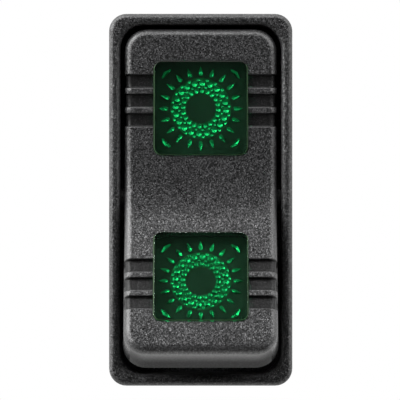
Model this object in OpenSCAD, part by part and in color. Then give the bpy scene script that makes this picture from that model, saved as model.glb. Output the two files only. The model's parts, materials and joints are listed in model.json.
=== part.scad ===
// Snap-in panel rocker switch: two positions, double pole, two lit lenses.
//
// The panel lies in the X-Z plane. X is the width, Z the long axis, and the rocker
// faces -Y. The origin is the centre of the cut-out, on the front of the panel.
// Inside the modules the switch lies on its back instead: x is the width, y the
// long axis and z the height above the panel. upright() stands a piece up.

/* [Panel cut-out] */
// Width of the cut-out
cutout_w = 21.08; // [20.5:0.02:22]
// Length of the cut-out
cutout_l = 36.83; // [35:0.01:40]
// Play between the housing and each side of the cut-out
cutout_play = 0.14; // [0.05:0.01:0.3]

/* [Bezel] */
// Width over the foot of the bezel
bezel_w = 24.8; // [24.4:0.1:27]
// Length over the foot of the bezel
bezel_l = 49.9; // [47:0.1:54]
// Height of the rim above the panel
bezel_h = 8.5; // [8:0.1:10]
// Corner radius of the rim, seen from the front
bezel_corner = 2.3; // [1.8:0.1:3]
// Radius along the outer edge of the rim
bezel_edge_r = 0.7; // [0.4:0.1:0.8]
// Draft of the outer sides
bezel_draft = 1.5; // [0.5:0.1:2.5]
// Width of the rim between its foot and the well
rim_t = 1.7; // [1.5:0.05:1.9]
// Corner radius of the well that the rocker swings in
well_corner = 3.1; // [2.6:0.1:3.6]
// Thickness of the floor of the well
floor_t = 1.1; // [0.9:0.1:1.5]

/* [Housing] */
// Depth of the housing behind the panel
housing_depth = 27; // [25:0.5:30]
// Wall of the housing
housing_t = 1.4; // [1.2:0.1:1.6]
// Corner radius of the housing
housing_corner = 2.4; // [1.8:0.1:3]
// Width of the spring arm in each end wall
arm_w = 9; // [7:0.5:11]
// Depth of the spring arm's root behind the panel
arm_root = 17; // [14:0.5:20]
// Width of the slot that frees the arm
arm_slot = 0.8; // [0.5:0.1:1]
// Reach of the largest ratchet step past the housing
ratchet_reach = 1.3; // [1:0.1:1.6]
// Thickest panel that the ratchet holds
panel_max = 6.4; // [5:0.1:7]
// Number of ratchet steps
ratchet_steps = 3; // [2:1:4]

/* [Rocker] */
// Swing of the rocker from one position to the other
rocker_travel = 22; // [18:1:24]
// Height of the pressed half's face above the pivot
face_over_pivot = 3.3; // [3:0.1:3.6]
// Gap between the rocker's face and each side of the well
side_gap = 0.63; // [0.55:0.01:0.8]
// Gap between the swing of the rocker's corner and each end of the well
end_gap = 0.35; // [0.3:0.05:0.6]
// Gap between the pressed end's foot and the floor of the well
foot_gap = 1.5; // [1:0.1:1.8]
// Radius of the valley between the two halves of the face
valley_r = 17.5; // [14:0.5:20]
// Radius along the edge of the face
face_edge_r = 1.1; // [0.8:0.05:1.2]
// Corner radius of the face, seen from the front
face_corner = 2.9; // [2.6:0.1:3.2]
// Draft of the rocker's side walls
rocker_draft = 2; // [1:0.1:2.5]
// Thickness of the face
roof_t = 1.6; // [1.4:0.1:1.8]
// Thickness of the side walls
skin_t = 1.3; // [1.1:0.05:1.5]
// Radius of the pivot pins
pin_r = 1.45; // [1.2:0.05:1.6]
// Reach of each pivot pin into the rim
pin_reach = 0.9; // [0.7:0.05:1]
// Running clearance of the pivot pins
pin_play = 0.05; // [0.02:0.01:0.1]

/* [Lenses and grips] */
// Side of the square lens
lens_w = 12.5; // [11.5:0.1:13]
// Corner radius of the lens
lens_corner = 1.05; // [0.8:0.05:1.4]
// Thickness of the lens
lens_t = 2.6; // [2.2:0.1:2.8]
// Height of the lens above the face
lens_proud = 0.25; // [0.1:0.05:0.4]
// Distance of the lens centre from the middle of the valley, along the face
lens_u = 11.55; // [11.3:0.05:11.8]
// Gap around the lens in its pocket
lens_play = 0.05; // [0.03:0.01:0.1]
// Width of the ledge that the lens sits on
ledge_w = 0.95; // [0.7:0.05:1.2]
// Wall of the light well under each lens
light_well_t = 1.0; // [0.8:0.1:1.1]
// Depth of the light well under the face
light_well_depth = 5; // [4:0.1:5.4]
// Number of rays in the lens optic
ray_count = 20; // [12:1:24]
// Radius of the plain disc in the middle of the optic
optic_disc_r = 2; // [1.6:0.1:2.2]
// Radius of the outer ring of prisms
optic_ring_r = 4.05; // [3.6:0.05:4.2]
// Depth of the prisms in the back of the lens
optic_depth = 0.5; // [0.3:0.05:0.6]
// Grooves on each side of a lens
groove_count = 3; // [2:1:4]
// Width of a groove
groove_w = 1.7; // [1.3:0.05:1.8]
// Width of the ridge between two grooves
ridge_w = 0.88; // [0.6:0.02:1]
// Depth of the grooves
groove_depth = 0.85; // [0.6:0.05:0.95]
// How far the grooves sit beyond the lens centre, towards the end
groove_shift = 1; // [0:0.1:1.5]

/* [Contacts] */
// Distance of each pole from the centre line
pole_x = 5; // [4.6:0.1:5.2]
// Reach of the plungers below the pivot
plunger_reach = 14; // [12.5:0.1:15]
// Radius of the plungers
plunger_r = 1.67; // [1.4:0.01:1.8]
// Running clearance of the plungers in their barrels
plunger_play = 0.08; // [0.04:0.01:0.1]
// Stroke of the plungers against their springs
plunger_stroke = 1; // [0.6:0.1:1.4]
// Wall of the plunger barrels
barrel_t = 0.85; // [0.7:0.05:1]
// Wire of the contact springs
spring_wire = 0.36; // [0.3:0.02:0.44]
// Turns of the contact springs
spring_turns = 6; // [5:1:8]
// Swing of the see-saw contact blades
blade_swing = 10; // [8:0.5:11]
// Width of the contact blades
blade_w = 4.6; // [4:0.1:5]
// Thickness of the contact blades
blade_t = 0.8; // [0.6:0.05:1]
// Radius of the bead that a blade rocks on
bead_r = 0.6; // [0.5:0.05:0.7]
// Running clearance of the bead in its cradle
bead_play = 0.05; // [0.02:0.01:0.1]
// Distance of the silver contacts from the blade's bead
contact_arm = 6.3; // [6:0.1:6.4]
// Radius of the silver contacts
contact_r = 1.2; // [1:0.05:1.25]
// Height of the silver contacts
contact_h = 0.5; // [0.4:0.05:0.6]

/* [Terminals and base] */
// Width of a terminal tab
tab_w = 6.3; // [4.8:0.1:6.4]
// Thickness of a terminal tab
tab_t = 0.8; // [0.5:0.05:0.9]
// Length of a tab behind the base
tab_l = 8.4; // [7.5:0.1:9.5]
// Distance between terminal rows on one pole
row_pitch = 8.4; // [8.2:0.1:8.8]
// Distance of the lamp terminals from the centre line
lamp_row_y = 14.8; // [14.4:0.1:15.2]
// Play around a terminal in the base
tab_play = 0.04; // [0.02:0.01:0.1]
// Thickness of the base flange that closes the housing
flange_t = 3.2; // [2.5:0.1:4]
// Play between the base and the housing
base_play = 0.05; // [0.03:0.01:0.1]
// Thickness of the seal under the base flange
seal_t = 0.8; // [0.5:0.1:1.2]
// Thickness of the panel gasket in its recess
gasket_t = 0.6; // [0.4:0.05:0.7]
// Land outside the gasket, as a share of the bezel's overlap on the panel
gasket_share = 0.39; // [0.3:0.01:0.5]

/* [Lamps] */
// Distance of each lamp from the middle, along the switch
lamp_y = 11.9; // [11.7:0.1:12.2]
// Radius of the lamp's dome
lamp_r = 2.5; // [2:0.1:2.6]
// Height of the lamp over its pedestal
lamp_h = 8.4; // [7:0.1:8.6]
// Side of the square lamp leads
lead_d = 0.5; // [0.4:0.05:0.6]

/* [Hidden] */
$fn = 64;

// Cuts run this far past the faces they open
over = 1;
// Turned and straight stretches of one moulding share this much
lap = 0.05;

// Housing and base, from the cut-out
housing_w = cutout_w - 2 * cutout_play;
housing_l = cutout_l - 2 * cutout_play;
bore_w = housing_w - 2 * housing_t;
bore_l = housing_l - 2 * housing_t;
bore_corner = housing_corner - housing_t;
flange_top = -housing_depth - seal_t;
base_back = flange_top - flange_t;
arm_top = 1.3;
gasket_land = gasket_share * (bezel_w - housing_w) / 2;
gasket_play = 0.1;
latch_w = 4.4;
latch_h = 2.2;
latch_y = 9;
latch_rise = 4.5;
latch_z = -housing_depth + latch_rise;
latch_play = 0.1;

// Well and rim
well_w = bezel_w - 2 * rim_t;
well_l = bezel_l - 2 * rim_t;
bezel_taper = 2 * bezel_h * tan(bezel_draft);
pivot_h = bezel_h - face_over_pivot;

// Rocker: two flat halves that meet in a valley over the pivot
half_angle = rocker_travel / 2;
rocker_w = well_w - 2 * side_gap;
rocker_depth = bezel_h - floor_t - foot_gap;
vertex_h = face_over_pivot / cos(half_angle);
swing_r = well_l / 2 - end_gap;
half_l = sqrt(pow(swing_r, 2) - pow(face_over_pivot, 2)) - vertex_h * sin(half_angle);
valley_u = valley_r * tan(half_angle);
valley_axis_h = vertex_h + valley_r / cos(half_angle);
cap_inner_w = rocker_w - 2 * skin_t;
seat_h = valley_axis_h - valley_r - roof_t;

// Lenses
pocket_w = lens_w + 2 * lens_play;
pocket_depth = lens_t - lens_proud;
window_w = lens_w - 2 * ledge_w;
light_well_w = pocket_w + 2 * light_well_t;
groove_pitch = groove_w + ridge_w;
groove_end_r = 0.8;
groove_skirt = 3.2;
groove_inset = 0.35;
notch_w = 0.42;
drop_w = 0.66;
leaf_w = 0.5;

// Plungers and their carrier, measured from the pivot
barrel_bore_r = plunger_r + plunger_play;
barrel_r = barrel_bore_r + barrel_t;
barrel_mouth = -(plunger_reach - plunger_r - plunger_stroke - 0.8);
plunger_guide = 5.4;
plunger_top = barrel_mouth + plunger_guide;
spring_seat = seat_h - 1.1;
spring_r = barrel_bore_r - spring_wire / 2 - 0.15;
carrier_l = 7.4;
carrier_t = 2.4;

// Contact blades and the terminals under them
blade_tilt = blade_swing / 2;
blade_over_axis = blade_t - 0.1;
blade_axis_z = pivot_h - plunger_reach - 0.1 - blade_over_axis;
blade_l = 2 * (contact_arm + contact_r + 0.2);
dome_r = 4;
contact_bottom = -0.1 - contact_h;
closed_z = blade_axis_z - contact_arm * sin(blade_tilt)
    + (contact_bottom + dome_r) * cos(blade_tilt) - dome_r;
contact_gap = 0.03;
fixed_top = closed_z - contact_gap;
pad_top = fixed_top - contact_h;
cradle_top = blade_axis_z - 0.3;
cradle_l = 2.2;
bend_r = 0.5;
deck_z = pad_top - tab_t - 1.2;
tab_tip = base_back - tab_l;
tab_nose_x = 1;
tab_nose_y = 1.4;
tab_hole_up = 3.6;
tab_hole_r = 0.9;
barrier_t = 1.6;
barrier_rise = 2.2;
barrier_top = blade_axis_z + barrier_rise;
barrier_gap = 0.3;

// Lamps
pedestal_h = 5.4;
pedestal_top = deck_z + pedestal_h;
pedestal_r = lamp_r + 0.5;
barrier_half = lamp_y - pedestal_r - barrier_gap;
lead_x = 1.27;
lead_land_x = pole_x - tab_w / 2 + lead_d;

black_plastic = [0.07, 0.07, 0.075];
base_plastic = [0.12, 0.12, 0.125];
seal_rubber = [0.03, 0.03, 0.03];
lens_green = [0.02, 0.45, 0.2, 0.8];
brass = [0.78, 0.64, 0.34];
copper = [0.75, 0.45, 0.3];
silver = [0.85, 0.85, 0.83];
steel = [0.6, 0.6, 0.62];

// ---- frames of reference ----

module upright() rotate([90, 0, 0]) children();

// The rocker at rest: its upper end pressed, the pivot at the origin
module on_rocker() upright() translate([0, 0, pivot_h]) rotate([-half_angle, 0, 0]) children();

// One half of the rocker's face: y runs outwards along the face, z out of it
module on_half(end) mirror([0, end < 0 ? 1 : 0, 0])
    translate([0, 0, vertex_h]) rotate([half_angle, 0, 0]) children();

// A contact blade at rest, its bead at the origin
module on_blade(side) upright()
    translate([side * pole_x, 0, blade_axis_z]) rotate([blade_tilt, 0, 0]) children();

// ---- shared shapes ----

module rounded_rect(width, length, corner) {
    square([width, length - 2 * corner], center = true);
    square([width - 2 * corner, length], center = true);
    for (x = [-1, 1], y = [-1, 1])
        translate([x * (width / 2 - corner), y * (length / 2 - corner)]) circle(corner);
}

module rounded_plate(width, length, corner, z_low, z_high)
    translate([0, 0, z_low]) linear_extrude(z_high - z_low) rounded_rect(width, length, corner);

// Section of a moulded edge: flat top, round, then a side that widens downwards
function edge_x(reach, draft, round_r) = reach + round_r * tan(draft) - round_r / cos(draft);

module edge_section(reach, depth, draft, round_r) {
    x = edge_x(reach, draft, round_r);
    polygon([
        [0, 0], [x, 0], [x + round_r * cos(draft), -round_r * (1 - sin(draft))],
        [reach + depth * tan(draft), -depth], [0, -depth]
    ]);
    translate([x, -round_r]) circle(round_r);
}

module full_section(half_w, depth, draft, round_r) {
    edge_section(half_w, depth, draft, round_r);
    mirror([1, 0]) edge_section(half_w, depth, draft, round_r);
}

// Straight run of a moulded block along y
module block_run(width, run, depth, draft, round_r)
    rotate([90, 0, 0]) translate([0, 0, -run]) linear_extrude(run)
        full_section(width / 2, depth, draft, round_r);

// Rounded end of a moulded block, from y = 0 to y = corner
module block_end(width, corner, depth, draft, round_r) {
    rotate([90, 0, 90]) linear_extrude(width - 2 * corner, center = true)
        edge_section(corner, depth, draft, round_r);
    for (side = [0, 1]) mirror([side, 0, 0]) translate([width / 2 - corner, 0, 0])
        rotate_extrude(angle = 90) edge_section(corner, depth, draft, round_r);
}

// Block with a flat top at z = 0, rounded edges and drafted sides
module moulded_block(width, length, corner, depth, draft, round_r) {
    straight = length - 2 * corner;
    translate([0, -straight / 2, 0]) block_run(width, straight, depth, draft, round_r);
    for (end = [0, 1]) mirror([0, end, 0]) translate([0, straight / 2, 0])
        block_end(width, corner, depth, draft, round_r);
}

// ---- bezel frame: rim, well, housing tube and spring arms in one moulding ----

module housing_outline(z_low, z_high)
    rounded_plate(housing_w, housing_l, housing_corner, z_low, z_high);

module housing_bore(z_low, z_high) rounded_plate(bore_w, bore_l, bore_corner, z_low, z_high);

// Stepped flank of a spring arm: each step holds one range of panel thickness
module ratchet() {
    step_z = (panel_max - arm_top - arm_slot) / ratchet_steps;
    step_y = ratchet_reach / (ratchet_steps + 1);
    points = [for (i = [0:ratchet_steps - 1], k = [0, 1])
        [(i + 1) * step_y, -arm_top - arm_slot - (i + k) * step_z]];
    rotate([90, 0, 90]) linear_extrude(arm_w, center = true)
        translate([housing_l / 2, 0])
            polygon(concat([[-housing_t / 2, -arm_top - arm_slot]], points,
                [[ratchet_reach, -panel_max], [ratchet_reach, -panel_max - 1],
                 [0, -arm_root + 1], [-housing_t / 2, -arm_root + 1]]));
}

// U-shaped slot that frees the spring arm at its panel end
module arm_slots() translate([0, housing_l / 2, 0]) difference() {
    translate([-arm_w / 2 - arm_slot, -housing_t - over, -arm_root])
        cube([arm_w + 2 * arm_slot, housing_t + 2 * over, arm_root - arm_top]);
    translate([-arm_w / 2, -housing_t - 2 * over, -arm_root - over])
        cube([arm_w, housing_t + 4 * over, arm_root - arm_top - arm_slot + over]);
}

module latch_windows() for (side = [-1, 1], end = [-1, 1])
    translate([side * (housing_w - housing_t) / 2, end * latch_y, latch_z])
        cube([housing_t + 2 * over, latch_w, latch_h], center = true);

module pivot_bores() for (side = [0, 1]) mirror([side, 0, 0])
    translate([well_w / 2 - over, 0, pivot_h]) rotate([0, 90, 0])
        cylinder(r = pin_r + pin_play, h = over + pin_reach + pin_play);

module bezel_frame() color(black_plastic) upright() {
    difference() {
        union() {
            translate([0, 0, bezel_h]) moulded_block(bezel_w - bezel_taper,
                bezel_l - bezel_taper, bezel_corner, bezel_h, bezel_draft, bezel_edge_r);
            housing_outline(-housing_depth, over / 2);
        }
        rounded_plate(well_w, well_l, well_corner, floor_t, bezel_h + over);
        housing_bore(-housing_depth - over, bezel_h);
        difference() {
            rounded_plate(bezel_w - 2 * gasket_land, bezel_l - 2 * gasket_land,
                bezel_corner - gasket_land, -over, gasket_t);
            housing_outline(-2 * over, gasket_t + over);
        }
        pivot_bores();
        latch_windows();
        for (end = [0, 1]) mirror([0, end, 0]) arm_slots();
    }
    for (end = [0, 1]) mirror([0, end, 0]) ratchet();
}

module panel_gasket() color(seal_rubber) upright() difference() {
    rounded_plate(bezel_w - 2 * gasket_land, bezel_l - 2 * gasket_land,
        bezel_corner - gasket_land, 0, gasket_t);
    rounded_plate(housing_w + 2 * gasket_play, housing_l + 2 * gasket_play,
        housing_corner + gasket_play, -over, gasket_t + over);
}

// ---- terminal base ----

module terminal_slot(x, y) translate([x, y, 0])
    translate([-tab_w / 2 - tab_play, -tab_t / 2 - tab_play, base_back - over])
        cube([tab_w + 2 * tab_play, tab_t + 2 * tab_play, deck_z - base_back + 2 * over]);

// Sloped lug that snaps into a window of the housing
module latch_lug() rotate([90, 0, 0]) linear_extrude(latch_w - 2 * latch_play, center = true)
    polygon([
        [-over, -latch_h / 2 + latch_play], [housing_t * 0.8, -latch_h / 2 + latch_play],
        [housing_t * 0.8, 0], [0, latch_h / 2 - latch_play], [-over, latch_h / 2 - latch_play]
    ]);

module terminal_base() color(base_plastic) upright() difference() {
    union() {
        housing_outline(base_back, flange_top);
        rounded_plate(bore_w - 2 * base_play, bore_l - 2 * base_play,
            bore_corner - base_play, flange_top - over, deck_z);
        // Barrier between the poles
        translate([-barrier_t / 2, -barrier_half, deck_z - over])
            cube([barrier_t, 2 * barrier_half, barrier_top - deck_z + over]);
        for (y = [-lamp_y, lamp_y]) translate([0, y, deck_z - over])
            cylinder(r = pedestal_r, h = pedestal_top - deck_z + over);
        for (side = [0, 1], end = [-1, 1]) mirror([side, 0, 0])
            translate([bore_w / 2 - base_play, end * latch_y, latch_z]) latch_lug();
    }
    for (x = [-pole_x, pole_x], y = [-lamp_row_y, -row_pitch, 0, row_pitch, lamp_row_y])
        terminal_slot(x, y);
    // Slots for the lamp leads, through the pedestals and out along the deck
    for (end = [0, 1]) mirror([0, end, 0]) for (side = [0, 1]) mirror([side, 0, 0]) {
        slot = lead_d + 2 * tab_play;
        translate([lead_x - slot / 2, lamp_y - slot / 2, deck_z])
            cube([slot, slot, pedestal_top - deck_z + over]);
        translate([lead_x - slot / 2, lamp_y - slot / 2, deck_z])
            cube([3 * slot, pedestal_r + over, 2 * slot]);
    }
}

module base_seal() color(seal_rubber) upright() difference() {
    housing_outline(flange_top, -housing_depth);
    housing_bore(flange_top - over, -housing_depth + over);
}

// ---- terminals ----

// Flat blank of a terminal, from the tip of its tab up to z = top
module tab_blank(top) rotate([90, 0, 0]) linear_extrude(tab_t, center = true) difference() {
    polygon([
        [-tab_w / 2 + tab_nose_x, tab_tip], [tab_w / 2 - tab_nose_x, tab_tip],
        [tab_w / 2, tab_tip + tab_nose_y], [tab_w / 2, top],
        [-tab_w / 2, top], [-tab_w / 2, tab_tip + tab_nose_y]
    ]);
    translate([0, tab_tip + tab_hole_up]) circle(tab_hole_r);
}

// Terminal whose top bends inwards under a moving contact
module throw_terminal() {
    bend_z = pad_top - tab_t - bend_r;
    tab_blank(bend_z);
    translate([0, -tab_t / 2 - bend_r, bend_z]) rotate([90, 0, 90])
        rotate_extrude(angle = 90) translate([bend_r, -tab_w / 2]) square([tab_t, tab_w]);
    pad_l = row_pitch - contact_arm + contact_r + 0.2 - tab_t / 2 - bend_r;
    translate([-tab_w / 2, -tab_t / 2 - bend_r - pad_l, pad_top - tab_t])
        cube([tab_w, pad_l, tab_t]);
}

// Common terminal: its head cradles the bead of a contact blade
module common_terminal() {
    tab_blank(cradle_top - 0.8);
    difference() {
        translate([-blade_w / 2, -cradle_l / 2, cradle_top - 1.2]) cube([blade_w, cradle_l, 1.2]);
        translate([0, 0, blade_axis_z]) rotate([0, 90, 0])
            cylinder(r = bead_r + bead_play, h = blade_w + over, center = true);
    }
}

module lamp_terminal() tab_blank(deck_z + 2.2);

// Terminals 1 to 3 run up the left pole and 4 to 6 up the right one
module terminal(number) color(brass) upright() {
    side = number < 7 ? (number < 4 ? -1 : 1) : (number % 2 == 1 ? -1 : 1);
    row = number < 7 ? (number - 1) % 3 - 1 : (number < 9 ? 1 : -1);
    if (number > 6) translate([side * pole_x, row * lamp_row_y, 0]) lamp_terminal();
    else if (row == 0) translate([side * pole_x, 0, 0]) common_terminal();
    else mirror([0, row < 0 ? 1 : 0, 0])
        translate([side * pole_x, row_pitch, 0]) throw_terminal();
}

module fixed_contact(number) color(silver) upright() {
    side = number < 4 ? -1 : 1;
    end = number % 3 == 1 ? -1 : 1;
    translate([side * pole_x, end * contact_arm, pad_top]) cylinder(r = contact_r, h = contact_h);
}

// ---- contact blades ----

module contact_blade(side) color(copper) on_blade(side)
    rotate([90, 0, 90]) linear_extrude(blade_w, center = true) {
        translate([-blade_l / 2, -0.1]) square([blade_l, blade_t]);
        circle(bead_r);
    }

// Silver contact with a domed face, riveted under the end of a blade
module moving_contact(side, end) color(silver) on_blade(side)
    translate([0, end * contact_arm, -0.1]) rotate_extrude() intersection() {
        translate([0, -contact_h]) square([contact_r, contact_h]);
        translate([0, dome_r - contact_h]) circle(dome_r);
    }

// ---- plungers, springs and their carrier ----

module plunger_carrier() color(black_plastic) on_rocker() difference() {
    union() {
        translate([-cap_inner_w / 2 + base_play, -carrier_l / 2, seat_h - carrier_t])
            cube([cap_inner_w - 2 * base_play, carrier_l, carrier_t]);
        for (x = [-pole_x, pole_x]) translate([x, 0, barrel_mouth])
            cylinder(r = barrel_r, h = seat_h - barrel_mouth);
        // Web that ties the two barrels together
        translate([-pole_x, -barrel_t, barrel_mouth / 2])
            cube([2 * pole_x, 2 * barrel_t, seat_h - barrel_mouth / 2 - 0.2]);
    }
    for (x = [-pole_x, pole_x]) translate([x, 0, barrel_mouth - over])
        cylinder(r = barrel_bore_r, h = spring_seat - barrel_mouth + over);
}

module plunger(side) color(base_plastic) on_rocker() translate([side * pole_x, 0, 0]) {
    nose_h = -plunger_reach + plunger_r;
    translate([0, 0, nose_h]) cylinder(r = plunger_r, h = plunger_top - nose_h);
    translate([0, 0, nose_h]) sphere(plunger_r);
}

// Closed tube swept along a coil from z_low to z_high
function coil_point(t, turns, coil_r, z_low, z_high) =
    [coil_r * cos(360 * turns * t), coil_r * sin(360 * turns * t), z_low + (z_high - z_low) * t];

module coil(turns, coil_r, wire_r, z_low, z_high) {
    rings = turns * 16;
    sides = 6;
    points = [for (i = [0:rings], k = [0:sides - 1])
        let (p = coil_point(i / rings, turns, coil_r, z_low, z_high),
             turn = 360 * turns * i / rings, a = 360 * k / sides, out = wire_r * cos(a))
        [p.x + out * cos(turn), p.y + out * sin(turn), p.z + wire_r * sin(a)]];
    walls = [for (i = [0:rings - 1], k = [0:sides - 1])
        let (n = (k + 1) % sides)
        [i * sides + k, i * sides + n, (i + 1) * sides + n, (i + 1) * sides + k]];
    caps = [[for (k = [sides - 1:-1:0]) k], [for (k = [0:sides - 1]) rings * sides + k]];
    polyhedron(points, concat(walls, caps));
}

module spring(side) color(steel) on_rocker() translate([side * pole_x, 0, 0])
    coil(spring_turns, spring_r, spring_wire / 2,
        plunger_top + spring_wire / 2, spring_seat - spring_wire / 2);

// ---- rocker cap ----

module cap_outside() {
    for (end = [-1, 1]) on_half(end) {
        translate([0, valley_u - lap, 0])
            block_run(rocker_w, half_l - face_corner - valley_u + lap, rocker_depth,
                rocker_draft, face_edge_r);
        translate([0, half_l - face_corner, 0])
            block_end(rocker_w, face_corner, rocker_depth, rocker_draft, face_edge_r);
    }
    // The valley is the same section, turned about an axis in front of the face
    translate([0, 0, valley_axis_h]) rotate([0, 90, 0]) rotate([0, 0, -half_angle])
        rotate_extrude(angle = 2 * half_angle) translate([valley_r, 0])
            rotate(90) full_section(rocker_w / 2, rocker_depth, rocker_draft, face_edge_r);
}

// Point on a half's own axes, seen from the side: u along the face, d under it
function side_point(u, d) = [u * cos(half_angle) + d * sin(half_angle),
    vertex_h + u * sin(half_angle) - d * cos(half_angle)];

module cap_hollow() {
    deep = 2 * rocker_depth;
    seat_u = (seat_h - vertex_h + roof_t * cos(half_angle)) / sin(half_angle);
    half = [side_point(seat_u, roof_t), side_point(half_l - skin_t, roof_t),
        side_point(half_l - skin_t, deep)];
    difference() {
        // Sloping roofs, and a level seat for the carrier between them
        rotate([90, 0, 90]) linear_extrude(cap_inner_w, center = true)
            polygon(concat(half, [for (i = [2:-1:0]) [-half[i].x, half[i].y]]));
        for (end = [-1, 1]) on_half(end) {
            translate([-light_well_w / 2, lens_u - light_well_w / 2, -light_well_depth])
                cube([light_well_w, light_well_w, light_well_depth]);
            // Ribs that stiffen the end wall
            for (x = [-lens_w / 4, lens_w / 4])
                translate([x - light_well_t / 2, lens_u, -light_well_depth])
                    cube([light_well_t, half_l, light_well_depth]);
        }
    }
}

// Groove that runs from the lens out over the side of the cap
module grip_groove() rotate([90, 0, 0]) linear_extrude(groove_w, center = true) {
    end_x = rocker_w / 2 - groove_inset;
    difference() {
        translate([pocket_w / 2 - over, -groove_skirt])
            square([rocker_w / 2, groove_skirt + over]);
        translate([0, -groove_depth - rocker_depth]) square([end_x - groove_end_r, rocker_depth]);
        translate([0, -groove_depth - groove_end_r - rocker_depth])
            square([end_x, rocker_depth]);
        translate([end_x - groove_end_r, -groove_depth - groove_end_r]) circle(groove_end_r);
    }
}

module rocker_cap() color(black_plastic) on_rocker() {
    difference() {
        cap_outside();
        cap_hollow();
        for (end = [-1, 1]) on_half(end) translate([0, lens_u, 0]) {
            rounded_plate(pocket_w, pocket_w, lens_corner + lens_play, -pocket_depth, over);
            rounded_plate(window_w, window_w, lens_corner, -light_well_depth - over, 0);
            for (i = [0:groove_count - 1], side = [0, 1]) mirror([side, 0, 0])
                translate([0, groove_shift + (i - (groove_count - 1) / 2) * groove_pitch, 0])
                    grip_groove();
        }
    }
    for (side = [0, 1]) mirror([side, 0, 0])
        translate([cap_inner_w / 2 + skin_t / 2, 0, 0]) rotate([0, 90, 0])
            cylinder(r = pin_r, h = well_w / 2 + pin_reach - cap_inner_w / 2 - skin_t / 2);
}

// ---- lenses: plain in front, prisms in the back ----

// Drop-shaped recess, its point outwards
module drop(length, width) {
    round_r = width / 2;
    circle(round_r);
    polygon([[0, -round_r], [length * 0.45, -round_r * 0.72], [length - round_r, 0],
        [length * 0.45, round_r * 0.72], [0, round_r]]);
}

module lens_optic() {
    ring_mid = (optic_disc_r + optic_ring_r) / 2;
    ring_w = (optic_ring_r - optic_disc_r) / 2;
    // Two ring prisms around the plain disc
    rotate_extrude() for (i = [0, 1]) translate([optic_disc_r + i * ring_w, 0])
        polygon([[0, -over], [0, 0], [ring_w / 2, optic_depth], [ring_w, 0], [ring_w, -over]]);
    for (i = [0:ray_count - 1]) rotate(90 + i * 360 / ray_count) {
        // Radial notch across the rings
        translate([ring_mid, 0, 0]) rotate([45, 0, 0])
            cube([0.8 * (optic_ring_r - optic_disc_r), notch_w, notch_w], center = true);
        // Drop outside them
        translate([optic_ring_r + 0.65, 0, -over]) linear_extrude(over + optic_depth)
            drop(1.4, drop_w);
    }
    // Leaves that fill the corners
    for (quarter = [0:3], lean = [-14, 0, 14]) rotate(45 + 90 * quarter + lean)
        translate([lens_w * (lean == 0 ? 0.52 : 0.5), 0, -over])
            linear_extrude(over + optic_depth) drop(lean == 0 ? 1.7 : 1.1, leaf_w);
}

module lens(end) color(lens_green) on_rocker() on_half(end)
    translate([0, lens_u, lens_proud]) difference() {
        moulded_block(lens_w, lens_w, lens_corner, lens_t, 0, 0.3);
        translate([0, 0, -lens_t]) lens_optic();
    }

// ---- lamps ----

module lamp(end) color([0.85, 0.95, 0.85]) upright() translate([0, end * lamp_y, pedestal_top])
    rotate_extrude() {
        square([lamp_r + 0.4, 1]);
        square([lamp_r, lamp_h - lamp_r]);
        intersection() {
            translate([0, lamp_h - lamp_r]) circle(lamp_r);
            square([lamp_r, lamp_h]);
        }
    }

// Square wires: down through the pedestal, then out along the deck to the terminals
module lamp_leads(end) color(steel) upright() mirror([0, end < 0 ? 1 : 0, 0])
    for (side = [0, 1]) mirror([side, 0, 0]) {
        half_d = lead_d / 2;
        bend_y = lamp_y + lead_x;
        land_y = lamp_row_y - tab_t / 2;
        low_z = deck_z + tab_play;
        translate([lead_x - half_d, lamp_y - half_d, low_z])
            cube([lead_d, lead_d, pedestal_top - low_z]);
        translate([0, 0, low_z]) linear_extrude(lead_d) polygon([
            [lead_x - half_d, lamp_y - half_d], [lead_x + half_d, lamp_y - half_d],
            [lead_x + half_d, bend_y], [lead_land_x + half_d, land_y - lead_d],
            [lead_land_x + half_d, land_y], [lead_land_x - half_d, land_y],
            [lead_x - half_d, bend_y + half_d]
        ]);
    }

// ---- the switch ----

bezel_frame();
panel_gasket();
terminal_base();
base_seal();
rocker_cap();
lens(1);  // lens_upper
lens(-1);  // lens_lower
plunger_carrier();
plunger(-1);  // plunger_left
plunger(1);  // plunger_right
spring(-1);  // spring_left
spring(1);  // spring_right
contact_blade(-1);  // contact_blade_left
contact_blade(1);  // contact_blade_right
moving_contact(-1, 1);  // moving_contact_left_upper
moving_contact(-1, -1);  // moving_contact_left_lower
moving_contact(1, 1);  // moving_contact_right_upper
moving_contact(1, -1);  // moving_contact_right_lower
lamp(1);  // lamp_upper
lamp(-1);  // lamp_lower
lamp_leads(1);  // lamp_leads_upper
lamp_leads(-1);  // lamp_leads_lower
for (number = [1:10])
    terminal(number);
for (number = [1, 3, 4, 6])
    fixed_contact(number);
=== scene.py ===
import json
import math

import bmesh
import bpy
from mathutils import Matrix, Vector

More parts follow.
